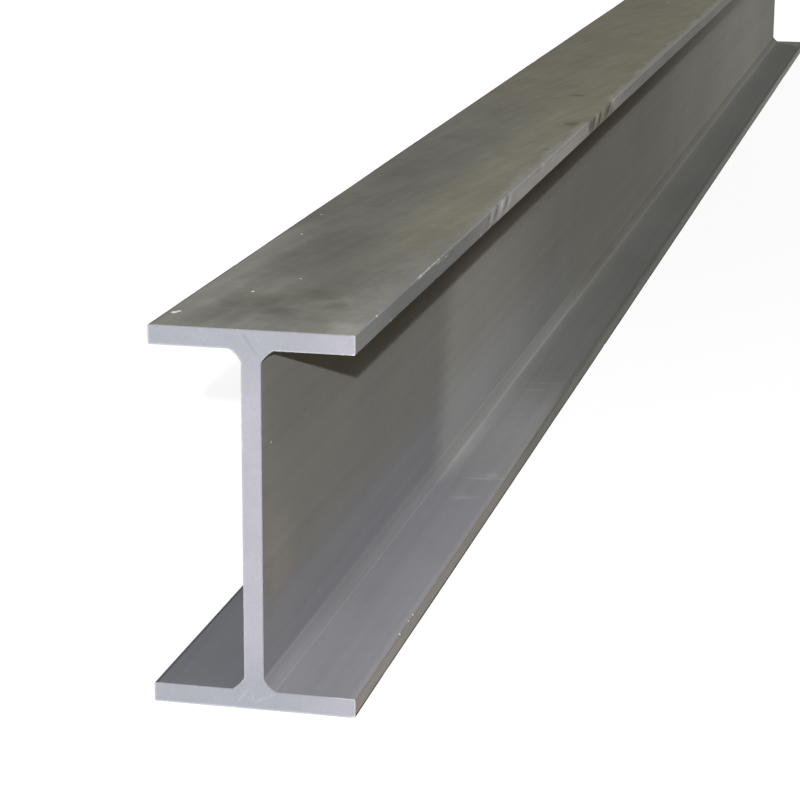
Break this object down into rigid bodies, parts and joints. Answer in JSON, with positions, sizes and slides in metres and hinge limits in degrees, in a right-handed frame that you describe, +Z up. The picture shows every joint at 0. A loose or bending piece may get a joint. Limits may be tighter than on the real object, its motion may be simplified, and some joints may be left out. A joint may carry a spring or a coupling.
{
  "type": "steel beam",
  "caption": "Hot-rolled steel I-beam with parallel flanges, thick web and small, nearly flat roots, a full stock bar with square sawn ends, used as a girder, joist or column.",
  "frame": {"origin": "centre of the underside of the bottom flange, at mid length and mid width", "axes": "+Y along the bar, away from the end that the picture shows; +X across the flanges, to the right of that end; +Z up, square to the flanges"},
  "size_m": [0.107, 3, 0.2],
  "materials": {
    "rolled_steel": "hot-rolled mill finish, dull olive grey with stains, streaks and worn edges; ends sawn and paler"
  },
  "bodies": {
    "root": {"i_beam": "rolled_steel"}
  },
  "joints": []
}
